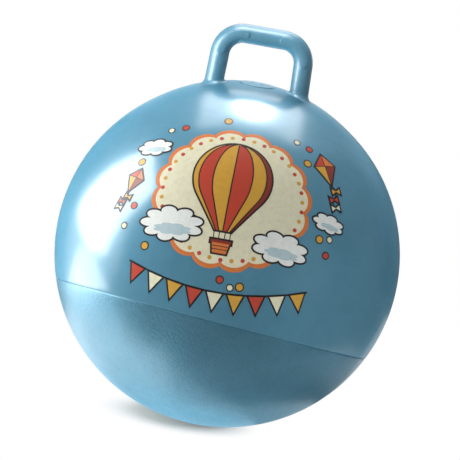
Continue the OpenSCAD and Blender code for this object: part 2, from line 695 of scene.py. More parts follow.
def lattice(rows: np.ndarray, ends: Ends) -> tuple[np.ndarray, Faces]:
    """Joins rows of points, each a closed ring, into the faces of a closed skin.

    Args:
        rows: Points as an array of rows, columns and coordinates.
        ends: How the first and the last row are closed.

    Returns:
        The points as a list of coordinates, and the faces as lists of point numbers.
    """
    count, columns, _ = rows.shape
    points = rows.reshape(-1, 3)
    numbers = np.arange(count * columns).reshape(count, columns)
    upper = numbers if ends is Ends.RING else numbers[:-1]
    lower = np.roll(numbers, -1, axis=0) if ends is Ends.RING else numbers[1:]
    quads = np.stack([upper, np.roll(upper, -1, 1), np.roll(lower, -1, 1), lower], axis=-1)
    faces = [tuple(quad) for quad in quads.reshape(-1, 4).tolist()]
    if ends is Ends.POLES:
        tips = np.stack([rows[0].mean(0), rows[-1].mean(0)])
        points = np.vstack([points, tips])
        first, last = count * columns, count * columns + 1
        for here, there in zip(numbers[0].tolist(), np.roll(numbers[0], -1).tolist()):
            faces.append((there, here, first))
        for here, there in zip(numbers[-1].tolist(), np.roll(numbers[-1], -1).tolist()):
            faces.append((here, there, last))
    return points, faces


def add_object(name: str, data: bpy.types.ID) -> bpy.types.Object:
    """Adds an object to the scene.

    Args:
        name: The object's name.
        data: Its mesh, light or camera.

    Returns:
        The new object.
    """
    added = bpy.data.objects.new(name, data)
    bpy.context.scene.collection.objects.link(added)
    return added


def make_mesh(name: str, points: np.ndarray, faces: Faces, finish: Finish) -> bpy.types.Mesh:
    """Makes a mesh of one finish.

    Args:
        name: The mesh's name.
        points: The coordinates of its points.
        faces: The numbers of the points of each face.
        finish: The finish of all its faces.

    Returns:
        The new mesh.
    """
    mesh = bpy.data.meshes.new(name)
    mesh.from_pydata(points.tolist(), [], faces)
    mesh.materials.append(finish.material())
    return mesh


def smooth_shading(mesh: bpy.types.Mesh) -> None:
    """Shades a mesh smooth, apart from its sharp edges."""
    mesh.shade_smooth()
    mesh.set_sharp_from_angle(angle=SHARP_ANGLE)


def make_piece(name: str, rows: np.ndarray, ends: Ends, finish: Finish) -> bpy.types.Object:
    """Makes a closed piece from rows of points.

    Args:
        name: The piece's name.
        rows: Points as an array of rows, columns and coordinates.
        ends: How the first and the last row are closed.
        finish: The piece's finish.

    Returns:
        The new object, with its faces pointing outwards.
    """
    mesh = make_mesh(name, *lattice(rows, ends), finish)
    shell = bmesh.new()
    shell.from_mesh(mesh)
    if shell.calc_volume(signed=True) < 0:
        bmesh.ops.reverse_faces(shell, faces=shell.faces[:])
    shell.to_mesh(mesh)
    shell.free()
    smooth_shading(mesh)
    return add_object(name, mesh)


def settle(piece: bpy.types.Object, body: Body, node: str = "") -> None:
    """Hands a finished piece to the frame.

    Args:
        piece: The finished piece.
        body: The body that it rides on.
        node: The CAD node that it stands for, if any.
    """
    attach(piece, body.value)
    if node:
        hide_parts(node)
    triangles = sum(len(face.vertices) - 2 for face in piece.data.polygons)
    LOG.info("%s: %d triangles on %s", piece.name, triangles, body.value)


def rounded(corners: list[Triple], steps: int = 6) -> np.ndarray:
    """Rounds the corners of an open outline.

    Args:
        corners: Each corner's two coordinates and the radius of its rounding.
        steps: Points along each rounding.

    Returns:
        The points of the rounded outline.
    """
    nearly_straight = math.radians(89.5)
    points = [np.array(corners[0][:2])]
    for before, corner, after in zip(corners, corners[1:], corners[2:]):
        here, radius = np.array(corner[:2]), corner[2]
        back = np.array(before[:2]) - here
        on = np.array(after[:2]) - here
        back /= np.linalg.norm(back)
        on /= np.linalg.norm(on)
        half = math.acos(float(np.clip(back @ on, -1, 1))) / 2
        if radius == 0 or half > nearly_straight:
            points.append(here)
            continue
        middle = here + (back + on) / np.linalg.norm(back + on) * radius / math.sin(half)
        start = here + back * radius / math.tan(half) - middle
        stop = here + on * radius / math.tan(half) - middle
        sweep = math.pi - 2 * half
        for share in np.linspace(0, 1, steps):
            blend = math.sin((1 - share) * sweep) * start + math.sin(share * sweep) * stop
            points.append(middle + blend / math.sin(sweep))
    points.append(np.array(corners[-1][:2]))
    return np.array(points)


def turned(outline: np.ndarray, columns: int) -> np.ndarray:
    """Turns an outline round the Z axis.

    Args:
        outline: Radius and height of each point.
        columns: Number of points round the axis.

    Returns:
        A row of points for each point of the outline.
    """
    turn = np.linspace(0, FULL_TURN, columns, endpoint=False)
    radius, height = outline[:, 0, None], outline[:, 1, None]
    return np.stack([radius * np.cos(turn), radius * np.sin(turn), height + 0 * turn], axis=-1)


@dataclass(frozen=True)
class BallForm:
    """Outside of the blown-up ball: a sphere, a tighter crown under the handle and a pressed foot."""

    ball_r: float
    foot_r: float = 30 * MM
    crown_rise: float = 3 * MM
    crown_edge_r: float = 122.5 * MM
    crown_blend: float = 0.5 * MM
    foot_blend: float = 0.8 * MM
    skin: float = 1.5 * MM

    @property
    def middle_z(self) -> float:
        """Height of the ball's middle over the ground."""
        return math.sqrt(self.ball_r**2 - self.foot_r**2)

    @property
    def crown_r(self) -> float:
        """Radius of the crown's sphere."""
        height = self.ball_r + self.crown_rise - math.sqrt(self.ball_r**2 - self.crown_edge_r**2)
        return (self.crown_edge_r**2 + height**2) / (2 * height)

    @property
    def crown_lift(self) -> float:
        """Distance of the crown sphere's middle above the ball's middle."""
        return self.ball_r + self.crown_rise - self.crown_r

    @property
    def crown_z(self) -> float:
        """Height of the crown sphere's middle over the ground."""
        return self.middle_z + self.crown_lift

    @property
    def top_z(self) -> float:
        """Height of the crown's top over the ground."""
        return self.crown_z + self.crown_r

    def reach(self, upness: Amount) -> Amount:
        """Distance from the ball's middle to its surface.

        Args:
            upness: The Z part of the direction, as numbers or as the value of a socket.

        Returns:
            The distance in metres, of the same kind.
        """
        across = self.crown_r**2 - self.crown_lift**2 * (1 - upness * upness)
        crown = self.crown_lift * upness + across**0.5
        return soft_max(crown, self.ball_r, self.crown_blend)

    def points(self, polar: np.ndarray, turn: np.ndarray, depth: np.ndarray | float = 0.0) -> np.ndarray:
        """Points on the ball, or inside it.

        Args:
            polar: Angles from the top.
            turn: Angles round the Z axis from +X.
            depth: Distance below the surface.

        Returns:
            The points, with the foot pressed flat on the ground.
        """
        reach = self.reach(np.cos(polar)) - depth
        # The soft maximum lies this far above its floor under the middle of the ball
        floor = depth - self.foot_blend**2 / (4 * (self.ball_r - self.middle_z))
        height = soft_max(self.middle_z + reach * np.cos(polar), floor, self.foot_blend)
        around = reach * np.sin(polar)
        return np.stack(np.broadcast_arrays(around * np.cos(turn), around * np.sin(turn), height), axis=-1)


@dataclass(frozen=True)
class PartingLine:
    """The seam between the two halves of the mould, with the fine groove that it leaves."""

    ball_r: float
    drop: float = 86.5 * MM
    lean: float = math.radians(4.9)
    pitch: float = math.radians(14)
    lip_width: float = 1.3 * MM
    lip_depth: float = 0.9 * MM
    lip_shares: tuple[float, ...] = (1.0, 0.75, 0.5, 0.3, 0.15, 0.05, 0.0)

    def polar(self, turn: np.ndarray) -> np.ndarray:
        """Finds the seam on the round ball.

        Args:
            turn: Angles round the Z axis.

        Returns:
            The seam's angle from the top of the ball at each of them.
        """
        sideways = math.cos(self.pitch) * math.sin(self.lean) * np.cos(turn)
        across = sideways + math.sin(self.pitch) * np.sin(turn)
        upright = math.cos(self.pitch) * math.cos(self.lean)
        tilt = np.arctan2(across, upright)
        return tilt + np.arccos(-self.drop / (self.ball_r * np.hypot(across, upright)))

    def lip(self) -> tuple[np.ndarray, np.ndarray]:
        """Distances from the seam at which a lip has points, and the depth of the lip at each."""
        share = np.array(self.lip_shares)
        return share * self.lip_width, (1 - share) ** 2 * self.lip_depth


@dataclass
class BallSkins:
    """The smooth upper skin and the grained lower skin, which meet at the parting line."""

    ball: BallForm
    parting: PartingLine
    neck_r: float = 12 * MM
    columns: int = 240
    upper_rows: int = 110
    lower_rows: int = 64
    inner_rows: int = 24
    pole_gap: float = 0.005

    def rows(self, start: float, count: int, gap: float, side: int) -> np.ndarray:
        """Rows of points over one skin's outside, its lip at the parting line and its inside.

        Args:
            start: The skin's far end, as an angle from the top.
            count: Number of rows from there to the lip.
            gap: Share of the way to the lip that is left open at the far end.
            side: -1 for the skin above the parting line, 1 for the one below it.

        Returns:
            The rows.
        """
        turn = np.linspace(0, FULL_TURN, self.columns, endpoint=False)
        seam = self.parting.polar(turn)
        far, depth = self.parting.lip()
        edge = seam + side * self.parting.lip_width / self.ball.ball_r
        share = np.linspace(gap, 1, count)[:-1, None]
        outside = self.ball.points(start + share * (edge - start), turn)
        lip = self.ball.points(seam + side * far[:, None] / self.ball.ball_r, turn, depth[:, None])
        back = np.linspace(1, 2 * gap, self.inner_rows)[:, None]
        inside = self.ball.points(start + back * (seam - start), turn, self.ball.skin)
        return np.concatenate([outside, lip, inside])

    def build(self) -> None:
        """Builds both skins, the upper one open at the valve's neck, and hands them to the frame."""
        neck = math.asin(self.neck_r / self.ball.reach(1.0))
        rows = self.rows(neck, self.upper_rows, 0.0, -1)
        piece = make_piece("upper_skin_smooth", rows, Ends.RING, SMOOTH_VINYL)
        settle(piece, Body.BALL, "upper_skin")
        rows = self.rows(math.pi, self.lower_rows, self.pole_gap, 1)
        piece = make_piece("lower_skin_grained", rows, Ends.POLES, GRAINED_VINYL)
        settle(piece, Body.BALL, "lower_skin")


@dataclass
class LoopHandle:
    """The hollow loop handle, with flared roots and a raised pad on the front of each bend."""

    ball: BallForm
    tube_r: float = 12.25 * MM
    wall: float = 3 * MM
    leg_spacing: float = 110 * MM
    leg_lean: float = math.radians(2)
    bend_r: float = 29 * MM
    bar_rise: float = 61 * MM
    outer_fillet: float = 13 * MM
    inner_fillet: float = 4 * MM
    fillet_power: float = 1.5
    root_sink: float = 0.05 * MM
    hem_tuck: float = 0.6 * MM
    pad_half: float = 5 * MM
    pad_rise: float = 1.1 * MM
    pad_edge: float = 0.5 * MM
    pad_turn: float = math.radians(80)
    front_half: float = 30.0
    front_step: float = 1.0
    side_step: float = 3.75
    fine_step: float = 0.5 * MM
    coarse_step: float = 2.5 * MM
    leg_rows: int = 14
    fillet_rows: int = 14

    @property
    def leg_x(self) -> float:
        """Distance of the right leg from the ball's axis at the height of the crown's top."""
        return self.leg_spacing / 2

    @property
    def bend_z(self) -> float:
        """Height of the middle of the bends."""
        return self.ball.top_z + self.bar_rise - self.bend_r

    @property
    def leg_l(self) -> float:
        """Length of a leg from the height of the crown's top to its bend."""
        rise = self.bar_rise - self.bend_r
        return (rise + self.bend_r * math.sin(self.leg_lean)) / math.cos(self.leg_lean)

    @property
    def bend_x(self) -> float:
        """Distance of the middle of the right bend from the ball's axis."""
        return self.leg_x - self.leg_l * math.sin(self.leg_lean) - self.bend_r * math.cos(self.leg_lean)

    def angles(self) -> np.ndarray:
        """Spaces the columns round the tube, close together across the pads.

        Returns:
            The angle of each column from the front of the tube.
        """
        front = np.arange(-self.front_half, self.front_half + self.front_step / 2, self.front_step)
        last = 360 - self.front_half - self.side_step / 2
        sides = np.arange(self.front_half + self.side_step, last, self.side_step)
        return np.radians(np.concatenate([front, sides]))

    def arch(self, radius: float, fine: bool) -> np.ndarray:
        """Rows of points on the right half of the arch.

        Args:
            radius: Radius of the tube's surface.
            fine: Whether the rows lie close enough together for the pads.

        Returns:
            The rows from the middle of the bar to the end of the bend.
        """
        step = self.fine_step if fine else self.coarse_step
        near_pad = self.bend_x - self.pad_half - self.pad_edge
        open_bar = np.arange(0, near_pad, self.coarse_step)
        pad_bar = np.arange(near_pad, self.bend_x - step / 2, step)
        bar = np.concatenate([open_bar, pad_bar])
        count = math.ceil((QUARTER_TURN - self.leg_lean) * self.bend_r / step)
        bend = np.linspace(QUARTER_TURN, self.leg_lean, count)
        middle = np.concatenate([bar, np.full(count, self.bend_x)])[:, None]
        turn = np.concatenate([np.full(len(bar), QUARTER_TURN), bend])[:, None]
        angle = self.angles()
        out = self.bend_r + radius * np.sin(angle)
        x = middle + out * np.cos(turn)
        z = self.bend_z + out * np.sin(turn)
        return np.stack(np.broadcast_arrays(x, -radius * np.cos(angle), z), axis=-1)

    def leg_points(self, away: np.ndarray, up: np.ndarray) -> np.ndarray:
        """Points in the right leg's own frame.

        Args:
            away: Distances from the leg's axis, with one column for each angle.
            up: Distances along the leg from the height of the crown's top.

        Returns:
            The points in the ball's frame.
        """
        angle = self.angles()
        out, front = away * np.sin(angle), away * np.cos(angle)
        lean_sin, lean_cos = math.sin(self.leg_lean), math.cos(self.leg_lean)
        x = self.leg_x + lean_cos * out - lean_sin * up
        z = self.ball.top_z + lean_sin * out + lean_cos * up
        return np.stack(np.broadcast_arrays(x, -front, z), axis=-1)

    def crown_section(self) -> tuple[np.ndarray, np.ndarray, np.ndarray]:
        """The crown as each column's half plane through the leg's axis cuts it.

        Returns:
            The circle's middle away from the leg and along it, and its radius, for each angle.
        """
        angle = self.angles()
        lean_sin, lean_cos = math.sin(self.leg_lean), math.cos(self.leg_lean)
        to_side = -self.leg_x * lean_cos - self.ball.crown_r * lean_sin
        along = self.leg_x * lean_sin - self.ball.crown_r * lean_cos
        radius = np.sqrt(self.ball.crown_r**2 - (to_side * np.cos(angle)) ** 2)
        return to_side * np.sin(angle), along + 0 * angle, radius

    def root_rows(self) -> np.ndarray:
        """Builds the outside of the right leg below its bend.

        Returns:
            Rows of points down the leg, out over its flared root and under the root's hem.
        """
        away, along, radius = self.crown_section()
        outward = (1 + np.sin(self.angles())) / 2
        flare = (self.outer_fillet - self.inner_fillet) * outward**self.fillet_power
        fillet = self.inner_fillet + flare
        centre = self.tube_r + fillet
        height = along + np.sqrt((radius + fillet) ** 2 - (centre - away) ** 2) - self.root_sink
        share = np.linspace(0, 1, self.leg_rows + 1)[1:, None]
        leg = self.leg_points(self.tube_r + 0 * share, self.leg_l + share * (height - self.leg_l))
        stop = FULL_TURN + np.arctan2(along - height, away - centre)
        sweep = math.pi + np.linspace(0, 1, self.fillet_rows + 1)[1:, None] * (stop - math.pi)
        root = self.leg_points(centre + fillet * np.cos(sweep), height + fillet * np.sin(sweep))
        tuck_in = self.hem_tuck * (away - centre) / (radius + fillet)
        hem = self.leg_points(
            centre + fillet * np.cos(stop) + tuck_in,
            height + fillet * np.sin(stop) - self.hem_tuck,
        )
        return np.concatenate([leg, root, hem[None]])

    def bore_rows(self) -> np.ndarray:
        """Builds the inside of the right half.

        Returns:
            Rows of points from the crown up to the middle of the bar.
        """
        away, along, radius = self.crown_section()
        bore_r = self.tube_r - self.wall
        bottom = along + np.sqrt(radius**2 - (bore_r - away) ** 2) - self.ball.skin / 2
        share = np.linspace(0, 1, self.leg_rows)[:-1, None]
        leg = self.leg_points(bore_r + 0 * share, bottom + share * (self.leg_l - bottom))
        return np.concatenate([leg, self.arch(bore_r, False)[::-1]])

    def outward(self, rows: np.ndarray) -> np.ndarray:
        """Finds which way the tube's surface faces.

        Args:
            rows: Rows of points on the right arch and leg.

        Returns:
            The direction straight out of the tube at each point.
        """
        angle = self.angles()
        around = np.arctan2(rows[..., 2] - self.bend_z, rows[..., 0] - self.bend_x)
        around = np.clip(around, self.leg_lean, QUARTER_TURN)
        out = np.sin(angle)
        front = np.broadcast_to(-np.cos(angle), around.shape)
        return np.stack([out * np.cos(around), front, out * np.sin(around)], axis=-1)

    def raise_pads(self, rows: np.ndarray) -> np.ndarray:
        """Raises the pad on the front of the right bend.

        Args:
            rows: Rows of points on the right arch and leg.

        Returns:
            The rows, with the points within the pad lifted.
        """
        from_bend = rows - np.array([self.bend_x, 0.0, self.bend_z])
        around = np.arctan2(from_bend[..., 2], from_bend[..., 0])
        nearest = np.clip(around, QUARTER_TURN - self.pad_turn, QUARTER_TURN)
        gap_x = from_bend[..., 0] - self.bend_r * np.cos(nearest)
        gap_z = from_bend[..., 2] - self.bend_r * np.sin(nearest)
        share = (np.hypot(gap_x, gap_z) - self.pad_half) / self.pad_edge + 0.5
        share = 1 - np.clip(share, 0, 1)
        in_front = np.cos(self.angles()) > 0
        lift = np.where(in_front, self.pad_rise * share * share * (3 - 2 * share), 0.0)
        return rows + self.outward(rows) * lift[..., None]

    def build(self) -> None:
        """Builds the handle from its right half and hands it to the frame."""
        half = np.concatenate([self.arch(self.tube_r, True), self.root_rows()])
        half = self.raise_pads(half)
        bore = self.bore_rows()
        mirror = np.array([-1.0, 1.0, 1.0])
        rows = np.concatenate([half[:0:-1] * mirror, half, bore, bore[-2::-1] * mirror])
        piece = make_piece("loop_handle", rows, Ends.RING, HANDLE_VINYL)
        settle(piece, Body.BALL, "handle")


@dataclass
class Valve:
    """The valve on the crown: the seat moulded into the skin, and the plug that closes it."""

    ball: BallForm
    boss_r: float = 23 * MM
    boss_rise: float = 0.8 * MM
    dome_span: Pair = (11 * MM, 21 * MM)
    dome_rows: int = 4
    neck_r: float = 12 * MM
    neck_l: float = 14 * MM
    join_up: float = 2 * MM
    join_gap: float = 0.1 * MM
    head_r: float = 8.5 * MM
    head_t: float = 2.4 * MM
    head_gap: float = 0.3 * MM
    dimple_share: float = 0.45
    dimple_depth: float = 0.6 * MM
    dimple_slope: float = 1.2 * MM
    dimple_round: float = 0.8 * MM
    stem_r: float = 4 * MM
    stem_l: float = 15 * MM
    stem_gap: float = 0.05 * MM
    tip_taper: float = 1.5 * MM
    tip_round: float = 0.3 * MM
    barb_count: int = 3
    barb_depth: float = 0.6 * MM
    barb_sides: int = 48
    edge_r: float = 0.4 * MM
    axis_r: float = 0.05 * MM
    columns: int = 96

    @property
    def boss_z(self) -> float:
        """Height of the top of the raised disc."""
        return self.ball.top_z + self.boss_rise

    @property
    def recess_z(self) -> float:
        """Height of the floor under the plug's head."""
        return self.boss_z - self.head_t

    def dome_z(self, radius: float, rise: float) -> float:
        """Height of the crown, raised by the given amount, at a distance from its axis."""
        return self.ball.crown_z + math.sqrt((self.ball.crown_r + rise) ** 2 - radius**2)

    def build_seat(self) -> None:
        """Builds the seat as a turned ring and hands it to the frame."""
        recess_r = self.head_r + self.head_gap
        bore_r = self.stem_r + self.stem_gap
        bottom = self.boss_z - self.neck_l
        radii = np.linspace(*self.dome_span, self.dome_rows)
        top = [(radius, self.dome_z(radius, self.boss_rise), 0.0) for radius in radii]
        # The outline starts and closes a little way up the bore, so that both ends of the bore are rounded
        corners = [
            (bore_r, bottom + self.join_up, 0.0),
            (bore_r, self.recess_z, self.edge_r / 2),
            (recess_r, self.recess_z, self.edge_r / 2),
            (recess_r, self.dome_z(recess_r, self.boss_rise), self.edge_r),
            *top,
            (self.boss_r, self.dome_z(self.boss_r, self.boss_rise), 1.5 * self.edge_r),
            (self.boss_r, self.dome_z(self.boss_r, -self.ball.skin / 2), 0.0),
            (self.neck_r, self.dome_z(self.neck_r, -2 * self.ball.skin), 0.0),
            (self.neck_r, bottom, self.edge_r),
            (bore_r, bottom, self.edge_r),
            (bore_r, bottom + self.join_up - self.join_gap, 0.0),
        ]
        rows = turned(rounded(corners), self.columns)
        piece = make_piece("valve_seat_ring", rows, Ends.RING, SEAT_VINYL)
        settle(piece, Body.BALL, "valve_seat")

    def barb_tree(self) -> GeometryTree:
        """Draws the tree that sets a row of barbs along a stem.

        Returns:
            The tree, which takes the stem as its geometry.
        """
        sizes = ("Pitch", "Tip Radius", "Core Radius", "Stem Top")
        tree = GeometryTree("stem barbs", {
            "Barbs": "NodeSocketInt",
            **dict.fromkeys(sizes, "NodeSocketFloat"),
        })
        pitch = tree.given("Pitch")
        # Each barb is half a pitch long, and the highest one ends a whole pitch below the head
        row = tree.flow("GeometryNodeMeshLine", {"mode": "OFFSET"}, {
            "Count": tree.given("Barbs"),
            "Start Location": tree.vector(Z=tree.given("Stem Top") - 1.5 * pitch),
            "Offset": tree.vector(Z=0 - pitch),
        })
        barb = tree.flow("GeometryNodeMeshCone", None, {
            "Vertices": self.barb_sides,
            "Radius Top": tree.given("Tip Radius"),
            "Radius Bottom": tree.given("Core Radius"),
            "Depth": 0.5 * pitch,
        })
        barbs = tree.flow("GeometryNodeInstanceOnPoints", None, {"Points": row, "Instance": barb})
        join = tree.add("GeometryNodeJoinGeometry")
        for part in (barbs, tree.given("Geometry")):
            tree.tree.links.new(part.socket, join.inputs[0])
        tree.close(Flow(tree, join.outputs[0]))
        return tree

    def build_plug(self) -> None:
        """Builds the plug with its head flush in the seat and hands it to the frame."""
        core_r = self.stem_r - self.barb_depth
        tip_z = self.recess_z - self.stem_l
        dimple_r = self.dimple_share * self.head_r
        dimple_z = self.dome_z(dimple_r, self.boss_rise - self.dimple_depth)
        corners = [
            (self.axis_r, dimple_z, 0.0),
            (dimple_r, dimple_z, self.dimple_round),
            (dimple_r + self.dimple_slope, self.dome_z(dimple_r, self.boss_rise), self.dimple_round),
            (self.head_r, self.dome_z(self.head_r, self.boss_rise), self.edge_r),
            (self.head_r, self.recess_z, self.edge_r / 2),
            (core_r, self.recess_z, self.edge_r / 2),
            (core_r, tip_z + self.tip_taper, self.tip_round),
            (core_r - self.barb_depth, tip_z, self.edge_r),
            (self.axis_r, tip_z, 0.0),
        ]
        rows = turned(rounded(corners), self.columns)
        piece = make_piece("valve_plug_barbed", rows, Ends.POLES, PLUG_VINYL)
        self.barb_tree().apply(piece, {
            "Barbs": self.barb_count,
            "Pitch": self.stem_l / (self.barb_count + 1),
            "Tip Radius": self.stem_r,
            "Core Radius": core_r,
            "Stem Top": self.recess_z,
            "Material": PLUG_VINYL.material(),
        })
        smooth_shading(piece.data)
        settle(piece, Body.PLUG, "valve_plug")

    def build(self) -> None:
        """Builds the seat and the plug."""
        self.build_seat()
        self.build_plug()


class Outline:
    """Closed flat outlines for the print, in millimetres, anticlockwise."""

    DISC_POINTS = 24
    LOBE_POINTS = 12
    LOBE_POWER = 0.7
    LONGEST_MITRE = 2.2
    TINY = 1e-6

    @classmethod
    def scallop(cls, half: Pair, lobes: int, depth: float) -> np.ndarray:
        """An oval with round lobes along its edge.

        Args:
            half: Half its width and half its height.
            lobes: Number of lobes.
            depth: Depth of the notches between them, as a share of the oval.

        Returns:
            The outline.
        """
        turn = np.linspace(0, FULL_TURN, cls.LOBE_POINTS * lobes, endpoint=False)
        swell = 1 - depth + depth * np.abs(np.sin(lobes * turn / 2)) ** cls.LOBE_POWER
        return np.stack([half[0] * swell * np.cos(turn), half[1] * swell * np.sin(turn)], axis=-1)

    @classmethod
    def disc(cls, radius: float) -> np.ndarray:
        """A round dot."""
        turn = np.linspace(0, FULL_TURN, cls.DISC_POINTS, endpoint=False)
        return radius * np.stack([np.cos(turn), np.sin(turn)], axis=-1)

    @staticmethod
    def tapered(low_half: float, low: float, high_half: float, high: float) -> np.ndarray:
        """A shape between two heights, with its half width at each."""
        return np.array([[-low_half, low], [low_half, low], [high_half, high], [-high_half, high]])

    @staticmethod
    def line(start: np.ndarray, stop: np.ndarray, count: int) -> np.ndarray:
        """Points along a straight line."""
        return start + np.linspace(0, 1, count)[:, None] * (stop - start)

    @staticmethod
    def strip(line: np.ndarray, width: float) -> np.ndarray:
        """A band of even width along an open line.

        Args:
            line: The points of the line.
            width: The band's width.

        Returns:
            The outline.
        """
        along = np.gradient(line, axis=0)
        along /= np.linalg.norm(along, axis=1, keepdims=True)
        side = np.stack([-along[:, 1], along[:, 0]], axis=-1) * width / 2
        return np.concatenate([line - side, (line + side)[::-1]])

    @classmethod
    def grown(cls, outline: np.ndarray, margin: float) -> np.ndarray:
        """Pushes an outline outwards.

        Args:
            outline: The outline.
            margin: How far its edges move.

        Returns:
            The larger outline, with its sharp corners cut short.
        """
        before = outline - np.roll(outline, 1, axis=0)
        after = np.roll(outline, -1, axis=0) - outline
        first, second = (edge / np.linalg.norm(edge, axis=1, keepdims=True) for edge in (before, after))
        out = np.stack([(first + second)[:, 1], -(first + second)[:, 0]], axis=-1)
        out /= np.maximum(np.linalg.norm(out, axis=1, keepdims=True), cls.TINY)
        square = np.stack([first[:, 1], -first[:, 0]], axis=-1)
        mitre = 1 / np.maximum((out * square).sum(1), 1 / cls.LONGEST_MITRE)
        return outline + margin * out * mitre[:, None]

    @staticmethod
    def placed(
        outline: np.ndarray, at: Pair | np.ndarray, turn: float = 0.0, size: float = 1.0
    ) -> np.ndarray:
        """Moves an outline to its place.

        Args:
            outline: The outline.
            at: Where its origin goes.
            turn: How far it is turned, in degrees.
            size: How much it is scaled.

        Returns:
            The outline in its place.
        """
        angle = math.radians(turn)
        spin = np.array([[math.cos(angle), math.sin(angle)], [-math.sin(angle), math.cos(angle)]])
        return size * outline @ spin + np.array(at)


class Level(IntEnum):
    """The order of printing from the bottom up: the disc, what lies on it, and what lies over that."""

    RIM = 0
    DISC = 1
    FAR_LINE = 2
    FAR_FILL = 3
    FAR_DETAIL = 4
    NEAR_LINE = 5
    NEAR_FILL = 6
    NEAR_DETAIL = 7


class InkSheet:
    """Flat shapes of one ink, kept as thin closed slabs whose height is their lift over the ball.

    Its sizes are in millimetres. A shape that is printed later reaches higher, and also a little deeper,
    so that no two levels share a plane.
    """

    GRID = 4.0
    LIFT = 0.05
    SINK = -0.15
    SINK_STEP = -0.0075
    CUT_TOLERANCE = 1e-4

    def __init__(self) -> None:
        """Starts an empty sheet."""
        self.slabs = bmesh.new()

    def lay(self, outline: np.ndarray, level: int) -> None:
        """Lays one shape on the sheet, cut by a grid so that it can bend.

        Args:
            outline: The shape's outline in millimetres.
            level: Its place in the order of printing.
        """
        top = self.LIFT * (level + 1)
        bottom = self.SINK + self.SINK_STEP * level
        shape = bmesh.new()
        face = shape.faces.new([shape.verts.new((x, y, top)) for x, y in outline])
        face.normal_update()
        bmesh.ops.triangulate(shape, faces=shape.faces[:])
        low, high = outline.min(0), outline.max(0)
        for axis, direction in enumerate((Vector(RIGHT), Vector(AHEAD))):
            first = math.floor(low[axis] / self.GRID) + 1
            for number in range(first, math.ceil(high[axis] / self.GRID)):
                bmesh.ops.bisect_plane(
                    shape,
                    geom=shape.verts[:] + shape.edges[:] + shape.faces[:],
                    dist=self.CUT_TOLERANCE,
                    plane_co=direction * number * self.GRID,
                    plane_no=direction,
                )
        grown = bmesh.ops.extrude_face_region(shape, geom=shape.faces[:])["geom"]
        moved = [part for part in grown if isinstance(part, bmesh.types.BMVert)]
        bmesh.ops.translate(shape, verts=moved, vec=(0, 0, bottom - top))
        bmesh.ops.recalc_face_normals(shape, faces=shape.faces[:])
        bmesh.ops.scale(shape, verts=shape.verts[:], vec=(MM, MM, MM))
        mesh = bpy.data.meshes.new("slab")
        shape.to_mesh(mesh)
        shape.free()
        self.slabs.from_mesh(mesh)
        bpy.data.meshes.remove(mesh)

    def piece(self, name: str) -> bpy.types.Object:
        """Turns the sheet into an object.

        Args:
            name: The object's name.

        Returns:
            The object, still flat and without a material.
        """
        mesh = bpy.data.meshes.new(name)
        self.slabs.to_mesh(mesh)
        self.slabs.free()
        return add_object(name, mesh)


class InkSet:
    """The sheets of all the inks of the print."""

    LINE = 2.0

    def __init__(self) -> None:
        """Starts an empty sheet for each ink."""
        self.sheets = {ink: InkSheet() for ink in Ink}

    def lay(self, ink: Ink, outline: np.ndarray, level: int) -> None:
        """Lays a shape on the sheet of its ink."""
        self.sheets[ink].lay(outline, level)

    def lay_lined(self, ink: Ink, outline: np.ndarray, level: int) -> None:
        """Lays a shape with a dark line round it, which is printed one level lower."""
        self.lay(Ink.BLACK, Outline.grown(outline, self.LINE), level - 1)
        self.lay(ink, outline, level)


@dataclass(frozen=True)
class Motif(ABC):
    """One picture in the print, with its sizes in millimetres."""

    at: Pair

    @abstractmethod
    def lay(self, inks: InkSet) -> None:
        """Lays the picture's shapes on the sheets of their inks."""


@dataclass(frozen=True)
class Backing(Motif):
    """The scalloped disc behind the balloon, with a rim of another colour."""

    half: Pair = (84.0, 78.0)
    rim: float = 5.0
    lobes: int = 16
    notch: float = 0.07

    def lay(self, inks: InkSet) -> None:
        """Lays the rim and the disc on it.

        Args:
            inks: The sheets of the inks.
        """
        rim_half = (self.half[0] + self.rim, self.half[1] + self.rim)
        for ink, half, level in ((Ink.ORANGE, rim_half, Level.RIM), (Ink.CREAM, self.half, Level.DISC)):
            inks.lay(ink, Outline.placed(Outline.scallop(half, self.lobes, self.notch), self.at), level)


